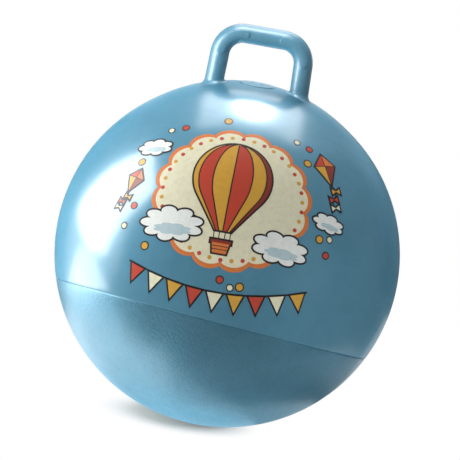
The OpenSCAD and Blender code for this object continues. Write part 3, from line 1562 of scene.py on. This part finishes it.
@dataclass(frozen=True)
class Balloon(Motif):
    """A striped balloon with ropes and a basket."""

    radius: float = 42.0
    round_turn: float = math.radians(125)
    round_points: int = 22
    taper_points: int = 8
    mouth_half: float = 9.0
    seam_width: float = 1.4
    stripes: tuple[Ink, ...] = (Ink.OCHRE, Ink.RED, Ink.OCHRE, Ink.RED, Ink.OCHRE, Ink.MAROON)
    rope_sides: tuple[float, ...] = (-1.0, -0.35, 0.35, 1.0)
    rope_drop: float = 10.0
    rope_lap: float = 0.5
    rope_spread: float = 8.74
    rope_width: float = 1.0
    brim_half: float = 11.0
    brim_deep: float = 3.2
    tub_half: float = 9.5
    tub_low_half: float = 7.5
    basket_deep: float = 14.0
    slat_half: float = 8.5
    slat_width: float = 0.8
    slat_shares: Pair = (0.3, 0.62)

    def envelope(self) -> tuple[np.ndarray, np.ndarray]:
        """Draws the balloon's side from its top down to its mouth: a round part, then a straight one.

        Returns:
            Half the width, and the height over the balloon's middle, at each point.
        """
        turn = np.linspace(0, self.round_turn, self.round_points)
        width, height = self.radius * np.sin(turn), self.radius * np.cos(turn)
        taper = np.linspace(0, 1, self.taper_points)[1:] * (width[-1] - self.mouth_half)
        drop = math.tan(self.round_turn) * taper
        return np.append(width, width[-1] - taper), np.append(height, height[-1] + drop)

    def lay(self, inks: InkSet) -> None:
        """Lays the balloon with its stripes and seams, and then what hangs from it.

        Args:
            inks: The sheets of the inks.
        """
        width, height = self.envelope()
        middle = np.array(self.at)
        edges = np.sin(np.linspace(-QUARTER_TURN, QUARTER_TURN, len(self.stripes) + 1))
        seams = [np.stack([edge * width, height], axis=-1) + middle for edge in edges]
        whole = np.concatenate([seams[0], seams[-1][:0:-1]])
        inks.lay(Ink.BLACK, Outline.grown(whole, inks.LINE), Level.FAR_LINE)
        for left, right, ink in zip(seams, seams[1:], self.stripes):
            inks.lay(ink, np.concatenate([left, right[:0:-1]]), Level.FAR_FILL)
        for seam in seams[1:-1]:
            inks.lay(Ink.BLACK, Outline.strip(seam[1:], self.seam_width), Level.FAR_DETAIL)
        self.lay_basket(inks, middle + np.array([0.0, height[-1]]))

    def lay_basket(self, inks: InkSet, mouth: np.ndarray) -> None:
        """Lays the ropes and the basket.

        Args:
            inks: The sheets of the inks.
            mouth: The middle of the balloon's mouth.
        """
        brim_low = -self.rope_drop - self.brim_deep
        bottom = -self.rope_drop - self.basket_deep
        for side in self.rope_sides:
            start = np.array([side * self.mouth_half, self.rope_lap])
            stop = np.array([side * self.rope_spread, -self.rope_drop - self.rope_lap])
            rope = Outline.line(start, stop, count=4) + mouth
            inks.lay(Ink.BLACK, Outline.strip(rope, self.rope_width), Level.FAR_FILL)
        brim = Outline.tapered(self.brim_half, brim_low, self.brim_half, -self.rope_drop) + mouth
        tub = Outline.tapered(self.tub_low_half, bottom, self.tub_half, brim_low) + mouth
        whole = np.concatenate([tub[:3], brim[1:], brim[:1], tub[3:]])
        inks.lay(Ink.BLACK, Outline.grown(whole, inks.LINE), Level.FAR_LINE)
        inks.lay(Ink.ORANGE, tub, Level.FAR_FILL)
        inks.lay(Ink.MAROON, brim, Level.FAR_FILL)
        for share in self.slat_shares:
            height = brim_low + share * (bottom - brim_low)
            left, right = np.array([-self.slat_half, height]), np.array([self.slat_half, height])
            slat = Outline.line(left, right, count=3) + mouth
            inks.lay(Ink.BLACK, Outline.strip(slat, self.slat_width), Level.FAR_DETAIL)


@dataclass(frozen=True)
class Cloud(Motif):
    """A scalloped cloud with a pale underside."""

    half: Pair
    lobes: int
    notch: float = 0.28
    shade_share: Pair = (0.62, 0.34)
    shade_notch: float = 0.2
    shade_right: float = 2.0
    shade_drop: float = 0.3

    def lay(self, inks: InkSet) -> None:
        """Lays the cloud and its underside.

        Args:
            inks: The sheets of the inks.
        """
        puff = Outline.scallop(self.half, self.lobes, self.notch)
        inks.lay_lined(Ink.WHITE, Outline.placed(puff, self.at), Level.NEAR_FILL)
        shade_half = (self.shade_share[0] * self.half[0], self.shade_share[1] * self.half[1])
        shade = Outline.scallop(shade_half, self.lobes - 1, self.shade_notch)
        low = (self.at[0] + self.shade_right, self.at[1] - self.shade_drop * self.half[1])
        inks.lay(Ink.PALE, Outline.placed(shade, low), Level.NEAR_DETAIL)


@dataclass(frozen=True)
class Kite(Motif):
    """A kite of four panels with a waving tail and bows on it."""

    turn: float
    size: float
    across: float = 15.0
    above: float = 17.0
    below: float = 27.0
    panels: tuple[Ink, ...] = (Ink.RED, Ink.OCHRE, Ink.MAROON, Ink.ORANGE)
    spar_width: float = 1.0
    tail_width: float = 1.2
    tail_length: float = 38.0
    tail_points: int = 24
    wave: float = 4.5
    wave_length: float = 5.5
    bows: tuple[tuple[float, Ink], ...] = ((9.0, Ink.OCHRE), (20.0, Ink.RED), (31.0, Ink.CREAM))
    wing: Pair = (6.0, 3.4)

    def set_out(self, outline: np.ndarray) -> np.ndarray:
        """Moves an outline from the kite's own frame to the print's."""
        return Outline.placed(outline, self.at, self.turn, self.size)

    def tail(self, down: np.ndarray | float) -> np.ndarray:
        """Points on the tail at the given distances below the kite."""
        return np.stack([self.wave * np.sin(down / self.wave_length), -self.below - down], axis=-1)

    def lay(self, inks: InkSet) -> None:
        """Lays the panels, spars, tail and bows.

        Args:
            inks: The sheets of the inks.
        """
        tips = np.array([[0, self.above], [-self.across, 0], [0, -self.below], [self.across, 0]])
        edge = Outline.grown(tips, inks.LINE / self.size)
        inks.lay(Ink.BLACK, self.set_out(edge), Level.NEAR_LINE)
        for first, second, ink in zip(tips, np.roll(tips, -1, axis=0), self.panels):
            inks.lay(ink, self.set_out(np.array([[0.0, 0.0], first, second])), Level.NEAR_FILL)
        for start, stop in ((tips[0], tips[2]), (tips[1], tips[3])):
            spar = Outline.strip(Outline.line(start, stop, count=5), self.spar_width / self.size)
            inks.lay(Ink.BLACK, self.set_out(spar), Level.NEAR_DETAIL)
        down = np.linspace(0, self.tail_length, self.tail_points)
        tail = Outline.strip(self.tail(down), self.tail_width / self.size)
        inks.lay(Ink.BLACK, self.set_out(tail), Level.NEAR_LINE)
        reach, half = self.wing
        wing = np.array([[0.0, 0.0], [reach, -half], [reach, half]])
        for knot, ink in self.bows:
            for turn in (180.0, 0.0):
                spread = Outline.placed(wing, self.tail(knot), turn)
                inks.lay_lined(ink, self.set_out(spread), Level.NEAR_DETAIL)


@dataclass(frozen=True)
class Pennants(Motif):
    """A sagging cord with a row of pennants; its place is midway between the ends of the cord."""

    count: int = 9
    half_span: float = 104.0
    sag: float = 22.0
    cord_width: float = 1.6
    steps_per_flag: int = 4
    flag: Pair = (8.5, 19.0)
    flag_drop: float = 0.6
    colours: tuple[Ink, ...] = (Ink.RED, Ink.CREAM, Ink.OCHRE)

    def cord(self, share: np.ndarray | float) -> np.ndarray:
        """Points on the cord, from -1 at its left end to 1 at its right end."""
        hang = np.stack([self.half_span * share, -self.sag * (1 - share * share)], axis=-1)
        return hang + np.array(self.at)

    def lay(self, inks: InkSet) -> None:
        """Lays the cord and the pennants.

        Args:
            inks: The sheets of the inks.
        """
        cord = self.cord(np.linspace(-1, 1, self.steps_per_flag * self.count + 1))
        inks.lay(Ink.BLACK, Outline.strip(cord, self.cord_width), Level.NEAR_LINE)
        half, height = self.flag
        flag = np.array([[0.0, -height], [half, 0.0], [-half, 0.0]])
        for number in range(self.count):
            share = -1 + (2 * number + 1) / self.count
            slope = math.degrees(math.atan2(2 * self.sag * share, self.half_span))
            place = self.cord(share) - np.array([0.0, self.flag_drop])
            ink = self.colours[number % len(self.colours)]
            inks.lay_lined(ink, Outline.placed(flag, place, slope), Level.FAR_DETAIL)


@dataclass(frozen=True)
class DotRing:
    """Round dots of one ink set round an oval, plain or with a dark line, in millimetres.

    Attributes:
        half: Half the width and half the height of the oval.
        first_turn: Angle of the first dot.
        scatter: How far dots may stray from the oval each way.
        seed: Seed of that scatter.
    """

    name: str
    ink: Ink
    radius: float
    count: int
    half: Pair
    first_turn: float
    level: Level
    scatter: float = 0.0
    seed: int = 0
    lined: bool = False
    line_width: float = 1.3

    def build(self, ring: GeometryTree) -> list[tuple[bpy.types.Object, Ink]]:
        """Builds the dots and their lines.

        Args:
            ring: The tree that sets a motif round an oval.

        Returns:
            The pieces, still flat, with their inks.
        """
        layers = [(self.ink, self.radius, self.level, "")]
        if self.lined:
            layers.append((Ink.BLACK, self.radius + self.line_width, self.level - 1, "_line"))
        pieces = []
        for ink, radius, level, ending in layers:
            sheet = InkSheet()
            sheet.lay(Outline.disc(radius), level)
            piece = sheet.piece(f"print_{self.name}{ending}")
            ring.apply(piece, {
                "Count": self.count,
                "Seed": self.seed,
                "Half Width": self.half[0] * MM,
                "Half Height": self.half[1] * MM,
                "First Turn": self.first_turn,
                "Scatter": self.scatter * MM,
                "Material": ink.material(),
            })
            pieces.append((piece, ink))
        return pieces


@dataclass
class FrontPrint:
    """The print on the ball's front: a balloon on a scalloped disc, clouds, kites, pennants and confetti."""

    ball: BallForm
    elevation: float = math.radians(31.4)
    azimuth: float = math.radians(-1.8)
    size: float = 1.13
    motifs: tuple[Motif, ...] = (
        Backing(at=(0.0, 0.0)),
        Balloon(at=(-3.0, 20.0)),
        Cloud(at=(-60.0, -40.0), half=(36.0, 19.0), lobes=9),
        Cloud(at=(62.0, -46.0), half=(32.0, 17.0), lobes=8),
        Cloud(at=(-98.0, 52.0), half=(21.0, 11.0), lobes=7),
        Cloud(at=(112.0, -2.0), half=(20.0, 10.5), lobes=7),
        Kite(at=(97.0, 68.0), turn=26.0, size=0.9),
        Kite(at=(-112.0, 12.0), turn=-22.0, size=0.66),
        Pennants(at=(0.0, -84.0)),
    )
    rings: tuple[DotRing, ...] = (
        DotRing(
            "marquee_red", Ink.RED, radius=2.3, count=20, half=(77.0, 71.0), first_turn=0.0,
            level=Level.FAR_LINE,
        ),
        DotRing(
            "marquee_ochre", Ink.OCHRE, radius=2.3, count=20, half=(77.0, 71.0), first_turn=math.pi / 20,
            level=Level.FAR_LINE,
        ),
        DotRing(
            "confetti_cream", Ink.CREAM, radius=3.0, count=5, half=(122.0, 106.0), first_turn=1.05,
            level=Level.FAR_FILL, scatter=9.0, seed=19, lined=True,
        ),
        DotRing(
            "confetti_red", Ink.RED, radius=3.4, count=5, half=(118.0, 100.0), first_turn=0.9,
            level=Level.FAR_FILL, scatter=9.0, seed=11, lined=True,
        ),
        DotRing(
            "confetti_ochre", Ink.OCHRE, radius=3.8, count=6, half=(112.0, 104.0), first_turn=0.75,
            level=Level.FAR_FILL, scatter=9.0, seed=15, lined=True,
        ),
    )

    def ring_tree(self) -> GeometryTree:
        """Draws the tree that sets a motif round an oval, with some scatter.

        Returns:
            The tree, which takes the motif as its geometry.
        """
        sizes = ("Half Width", "Half Height", "First Turn", "Scatter")
        tree = GeometryTree("motif round an oval", {
            "Count": "NodeSocketInt",
            "Seed": "NodeSocketInt",
            **dict.fromkeys(sizes, "NodeSocketFloat"),
        })
        number = tree.flow("GeometryNodeInputIndex")
        row = tree.flow("GeometryNodeMeshLine", {"mode": "OFFSET"}, {"Count": tree.given("Count")})
        turn = tree.given("First Turn") + FULL_TURN * number / tree.given("Count")
        # The second draw of each dot takes another number, so that it doesn't follow the first
        second_draw = 100
        chance = [
            tree.flow(
                "FunctionNodeRandomValue",
                {"data_type": "FLOAT"},
                {"Min_001": -1.0, "Max_001": 1.0, "ID": number + draw, "Seed": tree.given("Seed")},
                "Value_001",
            )
            for draw in (0, second_draw)
        ]
        scatter = tree.given("Scatter")
        place = tree.vector(
            X=tree.given("Half Width") * tree.maths("COSINE", turn) + scatter * chance[0],
            Y=tree.given("Half Height") * tree.maths("SINE", turn) + scatter * chance[1],
        )
        ring = tree.flow("GeometryNodeSetPosition", None, {"Geometry": row, "Position": place})
        motif = {"Points": ring, "Instance": tree.given("Geometry")}
        tree.close(tree.flow("GeometryNodeInstanceOnPoints", None, motif))
        return tree

    def wrap_tree(self) -> GeometryTree:
        """Draws the tree that wraps flat ink on to the ball.

        Returns:
            The tree, which takes the flat ink as its geometry.
        """
        sizes = ("Elevation", "Azimuth", "Size")
        tree = GeometryTree("wrap on the ball", dict.fromkeys(sizes, "NodeSocketFloat"))
        flat_across, flat_up, lift = tree.split(tree.flow("GeometryNodeInputPosition"))
        across, up = (part * tree.given("Size") for part in (flat_across, flat_up))
        rise, turn = tree.given("Elevation"), tree.given("Azimuth")
        rise_sin, rise_cos = (tree.maths(name, rise) for name in ("SINE", "COSINE"))
        turn_sin, turn_cos = (tree.maths(name, turn) for name in ("SINE", "COSINE"))
        never_zero = 1e-12
        far = (across * across + up * up + never_zero) ** 0.5
        bend = far / self.ball.ball_r
        ahead = tree.maths("COSINE", bend)
        aside = tree.maths("SINE", bend) / far
        front = ahead * rise_cos - aside * up * rise_sin
        upness = ahead * rise_sin + aside * up * rise_cos
        side = aside * across
        reach = self.ball.reach(upness) + lift
        place = tree.vector(
            X=reach * (side * turn_cos + front * turn_sin),
            Y=reach * (side * turn_sin - front * turn_cos),
            Z=reach * upness + self.ball.middle_z,
        )
        sockets = {"Geometry": tree.given("Geometry"), "Position": place}
        tree.close(tree.flow("GeometryNodeSetPosition", None, sockets))
        return tree

    def build(self) -> None:
        """Lays every motif, wraps each ink on to the ball and hands it to the frame."""
        inks = InkSet()
        for motif in self.motifs:
            motif.lay(inks)
        wrap, ring = self.wrap_tree(), self.ring_tree()
        pieces = [pair for dots in self.rings for pair in dots.build(ring)]
        for ink, sheet in inks.sheets.items():
            pieces.append((sheet.piece(f"print_{ink.name.lower()}"), ink))
        for piece, ink in pieces:
            wrap.apply(piece, {
                "Elevation": self.elevation,
                "Azimuth": self.azimuth,
                "Size": self.size,
                "Material": ink.material(),
            })
            smooth_shading(piece.data)
            settle(piece, Body.BALL)


@dataclass(frozen=True)
class Softbox:
    """A studio light with a flat front, which the camera itself doesn't see.

    Attributes:
        radiance: Brightness of its front.
        mirrored: Whether the pieces mirror it.
        lit: The pieces that it falls on.
        watts_per_area: Power of each square metre of a front with a radiance of 1.
    """

    name: str
    place: Triple
    facing: Triple
    upright: Triple
    size: Pair
    radiance: float
    shape: LampShape = LampShape.SQUARE
    mirrored: bool = True
    lit: Lit = Lit.EVERYTHING
    watts_per_area: float = 4.0

    def build(self) -> None:
        """Hangs the light, turns its front and limits what it lights."""
        light = bpy.data.lights.new(self.name, "AREA")
        light.shape = self.shape.value
        light.size, light.size_y = self.size
        light.energy = self.watts_per_area * self.radiance * self.size[0] * self.size[1]
        back = -Vector(self.facing).normalized()
        across = Vector(self.upright).cross(back).normalized()
        lamp = add_object(self.name, light)
        lamp.location = self.place
        lamp.rotation_euler = Matrix((across, back.cross(across), back)).transposed().to_euler()
        lamp.visible_camera = False
        lamp.visible_glossy = self.mirrored
        if self.lit is not Lit.EVERYTHING:
            group = bpy.data.collections.new(f"{self.name} group")
            group.objects.link(bpy.data.objects["loop_handle"])
            group.collection_objects[0].light_linking.link_state = self.lit.value
            lamp.light_linking.receiver_collection = group


@dataclass(frozen=True)
class ClothScreen:
    """A standing screen or a lying apron of cloth, curved round the ball, which only reflections show.

    Attributes:
        foot: Half axes of the oval that its foot follows.
        top: Half axes of the oval that its top follows.
        height: Height of its top.
        start: Angle of its first end from +X, in degrees.
        stop: Angle of its other end.
    """

    name: str
    foot: Pair
    top: Pair
    height: float
    start: float
    stop: float
    cloth: Cloth = DARK_CLOTH
    foot_z: float = 2 * MM
    steps: int = 48

    def build(self) -> None:
        """Builds the screen between two ovals, of its foot and of its top."""
        turn = np.linspace(math.radians(self.start), math.radians(self.stop), self.steps)
        rows = [
            np.stack([half[0] * np.cos(turn), half[1] * np.sin(turn), level + 0 * turn], axis=-1)
            for half, level in ((self.foot, self.foot_z), (self.top, self.height))
        ]
        faces = [(at, at + 1, at + 1 + self.steps, at + self.steps) for at in range(self.steps - 1)]
        screen = add_object(self.name, make_mesh(self.name, np.concatenate(rows), faces, self.cloth))
        screen.visible_camera = False
        screen.visible_diffuse = False
        screen.visible_shadow = False
        screen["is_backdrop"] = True


@dataclass
class Studio:
    """The plain white studio: floor, soft lights, screens, surroundings and camera."""

    ball: BallForm
    camera_elevation: float = math.radians(13)
    camera_roll: float = math.radians(9.94)
    camera_distance: float = 2.5
    camera_lens: float = 149.6
    aim_right: float = 3.66 * MM
    aim_up: float = 31.9 * MM
    sheet_r: float = 20.0
    sheet_rim: float = 3.0
    sheet_sides: int = 64
    room: Colour = (0.25, 0.26, 0.27, 1.0)
    wall_share: float = 0.35
    wall_span: Pair = (0.86, 0.98)
    lights: tuple[Softbox, ...] = (
        Softbox(
            "left softbox", place=(-1.5, 0.0, 0.8), facing=RIGHT, upright=(0.0, -0.34, 0.94),
            size=(1.12, 1.6), radiance=5.0, lit=Lit.ALL_BUT_HANDLE,
        ),
        Softbox(
            "far floor panel", place=(-0.87, 0.02, 0.02), facing=UP, upright=(0.2, 0.98, 0.0),
            size=(0.85, 0.36), radiance=2.5,
        ),
        Softbox(
            "near floor panel", place=(-0.23, -0.07, 0.004), facing=UP, upright=AHEAD,
            size=(0.62, 0.34), radiance=0.42, shape=LampShape.OVAL,
        ),
        Softbox(
            "ceiling panel", place=(0.0, 1.0, 1.6), facing=DOWN, upright=AHEAD, size=(1.2, 1.6), radiance=1.8
        ),
        Softbox(
            "ceiling lamp", place=(0.01, 0.72, 1.58), facing=DOWN, upright=AHEAD,
            size=(0.38, 0.73), radiance=14.0, shape=LampShape.OVAL, lit=Lit.ALL_BUT_HANDLE,
        ),
        Softbox(
            "left fill", place=(-2.0, -1.7, 1.6), facing=(2.0, 1.7, -1.3), upright=UP,
            size=(2.0, 2.0), radiance=0.6, mirrored=False, lit=Lit.ALL_BUT_HANDLE,
        ),
        Softbox(
            "right fill", place=(1.9, -1.6, 0.6), facing=(-1.9, 1.6, -0.35), upright=UP,
            size=(1.5, 1.5), radiance=1.6, mirrored=False, lit=Lit.ALL_BUT_HANDLE,
        ),
        Softbox(
            "handle side light", place=(-0.85, -0.6, 0.5), facing=(0.85, 0.6, 0.0), upright=UP,
            size=(0.65, 0.9), radiance=5.8, lit=Lit.HANDLE,
        ),
        Softbox(
            "handle top light", place=(-0.15, -0.32, 1.48), facing=(0.15, 0.32, -1.0), upright=AHEAD,
            size=(0.6, 0.6), radiance=6.2, lit=Lit.HANDLE,
        ),
    )
    screens: tuple[ClothScreen, ...] = (
        ClothScreen("front screen", foot=(0.43, 0.28), top=(0.43, 0.28), height=0.7, start=-125, stop=35),
        ClothScreen(
            "front right apron", foot=(0.43, 0.28), top=(0.18, 0.15), height=3 * MM, start=-105, stop=40,
            cloth=GREY_CLOTH,
        ),
        ClothScreen(
            "front left apron", foot=(1.1, 1.0), top=(0.45, 0.3), height=3 * MM, start=-155, stop=-125
        ),
        ClothScreen("rear right screen", foot=(0.75, 0.7), top=(0.75, 0.7), height=0.45, start=30, stop=75),
        ClothScreen("rear left screen", foot=(0.86, 0.77), top=(0.86, 0.77), height=0.5, start=112, stop=149),
        ClothScreen("rear left apron", foot=(0.86, 0.77), top=(0.4, 0.3), height=3 * MM, start=112, stop=152),
    )

    def build_floor(self) -> None:
        """Lays the round sheet of paper, whose far rim is turned up as a backdrop."""
        sides = self.sheet_sides
        rim = turned(np.array([[self.sheet_r, 0.0], [self.sheet_r, self.sheet_rim]]), sides)
        base = range(sides)
        wall = [(at, at + sides, (at + 1) % sides + sides, (at + 1) % sides) for at in base]
        mesh = make_mesh("floor", rim.reshape(-1, 3), [tuple(base), *wall], PAPER_FLOOR)
        floor = add_object("floor", mesh)
        floor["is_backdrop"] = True

    def build_surroundings(self) -> None:
        """Lights the scene from a white wall behind and a dim room in front."""
        world = bpy.data.worlds.new("studio")
        world.use_nodes = True
        world.node_tree.nodes.clear()
        sheet = NodeSheet(world.node_tree)
        _, depth, _ = sheet.split(sheet.flow("ShaderNodeTexCoord", output="Generated"))
        wall = self.wall_share * depth.ramp(*self.wall_span)
        colour = sheet.mix(wall, self.room, WHITE)
        light = sheet.flow("ShaderNodeBackground", None, {"Color": colour, "Strength": 1.0})
        sheet.add("ShaderNodeOutputWorld", None, {"Surface": light})
        bpy.context.scene.world = world

    def build_camera(self) -> None:
        """Sets the camera at the photograph's angle, distance and roll."""
        rise, roll = self.camera_elevation, self.camera_roll
        back = Vector((0.0, -math.cos(rise), math.sin(rise)))
        up = Vector((0.0, math.sin(rise), math.cos(rise)))
        right = Vector(RIGHT)
        rolled_right = math.cos(roll) * right + math.sin(roll) * up
        rolled_up = math.cos(roll) * up - math.sin(roll) * right
        middle = Vector((0.0, 0.0, self.ball.middle_z))
        place = middle + self.camera_distance * back
        look = middle + self.aim_right * rolled_right + self.aim_up * rolled_up - place
        data = bpy.data.cameras.new("camera")
        data.lens = self.camera_lens
        camera = add_object("camera", data)
        camera.location = place
        camera.rotation_mode = "QUATERNION"
        camera.rotation_quaternion = look.to_track_quat("-Z", "Y") @ Quaternion(UP, roll)
        bpy.context.scene.camera = camera

    def build(self) -> None:
        """Builds the studio round the finished pieces, since some lights single out the handle."""
        bpy.context.scene.view_settings.view_transform = "Standard"
        self.build_floor()
        for stand in (*self.lights, *self.screens):
            stand.build()
        self.build_surroundings()
        self.build_camera()


def write_sizes() -> None:
    """Works out the CAD model's box and the visual model's box, and keeps neither."""
    boxes = {"cad": CAD_BOX, "visual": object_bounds()}
    {name: [list(corner) for corner in box] for name, box in boxes.items()}


def main() -> None:
    """Builds the ball, its handle, valve and print, and the studio round them."""
    logging.basicConfig(level=logging.INFO, format="%(message)s")
    low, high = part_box("upper_skin")
    ball = BallForm((high.x - low.x) / 2)
    BallSkins(ball, PartingLine(ball.ball_r)).build()
    LoopHandle(ball).build()
    Valve(ball).build()
    FrontPrint(ball).build()
    Studio(ball).build()
    write_sizes()


if __name__ == "__main__":
    main()
